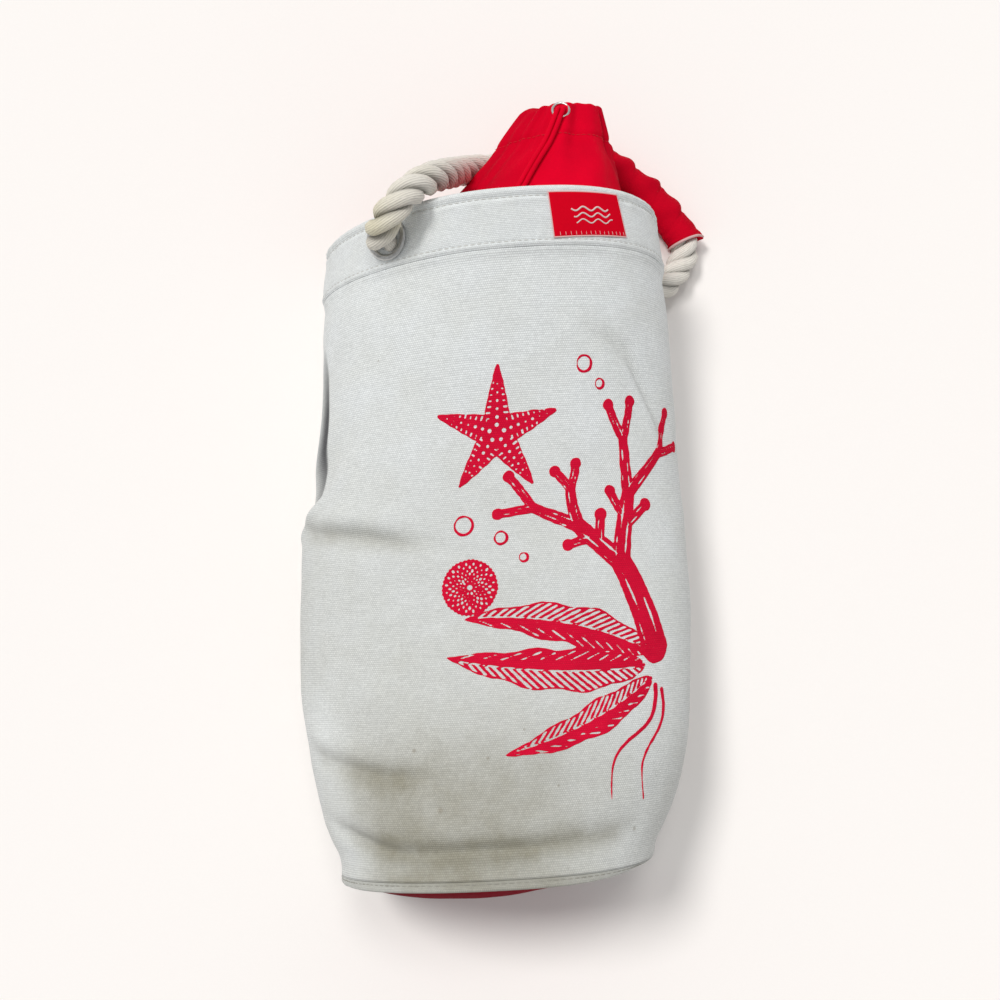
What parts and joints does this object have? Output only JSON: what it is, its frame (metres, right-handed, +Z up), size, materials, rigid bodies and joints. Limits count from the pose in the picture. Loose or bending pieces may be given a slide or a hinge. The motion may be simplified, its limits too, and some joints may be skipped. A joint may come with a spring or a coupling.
{
  "type": "insulated wine bottle tote",
  "caption": "Padded canvas bottle tote lying on its back, with a bound base, a wide rim band, a red drawstring collar and a rope carrying handle.",
  "frame": {"origin": "middle of the bag's own box, without rope and cord, on the floor that it lies on", "axes": "+Y along the bag from its base to its mouth, +Z up from the floor through the printed front, +X to the viewer's right"},
  "size_m": [0.2139, 0.4059, 0.1446],
  "materials": {
    "canvas": "matt ribbed canvas with a red print on its front",
    "binding": "matt off-white canvas binding",
    "red_cloth": "matt red cotton",
    "red_cord": "thin woven red cord",
    "label_weave": "red woven label",
    "sleeve_cloth": "matt gathered red cloth",
    "silver_metal": "plain nickel-plated ring",
    "cotton_rope": "laid cream cotton rope"
  },
  "bodies": {
    "root": {"body_shell": "canvas", "rim_band": "canvas", "base_binding": "binding", "base_panel": "red_cloth", "collar": "red_cloth", "collar_eyelet": "silver_metal", "drawcord": "red_cord", "drawcord_knot_left": "red_cord", "drawcord_knot_right": "red_cord", "label": "label_weave", "grommet_left": "silver_metal", "grommet_right": "silver_metal", "rope_handle": "cotton_rope", "rope_knot_left": "cotton_rope", "rope_knot_right": "cotton_rope", "handle_sleeve": "sleeve_cloth"}
  },
  "joints": []
}
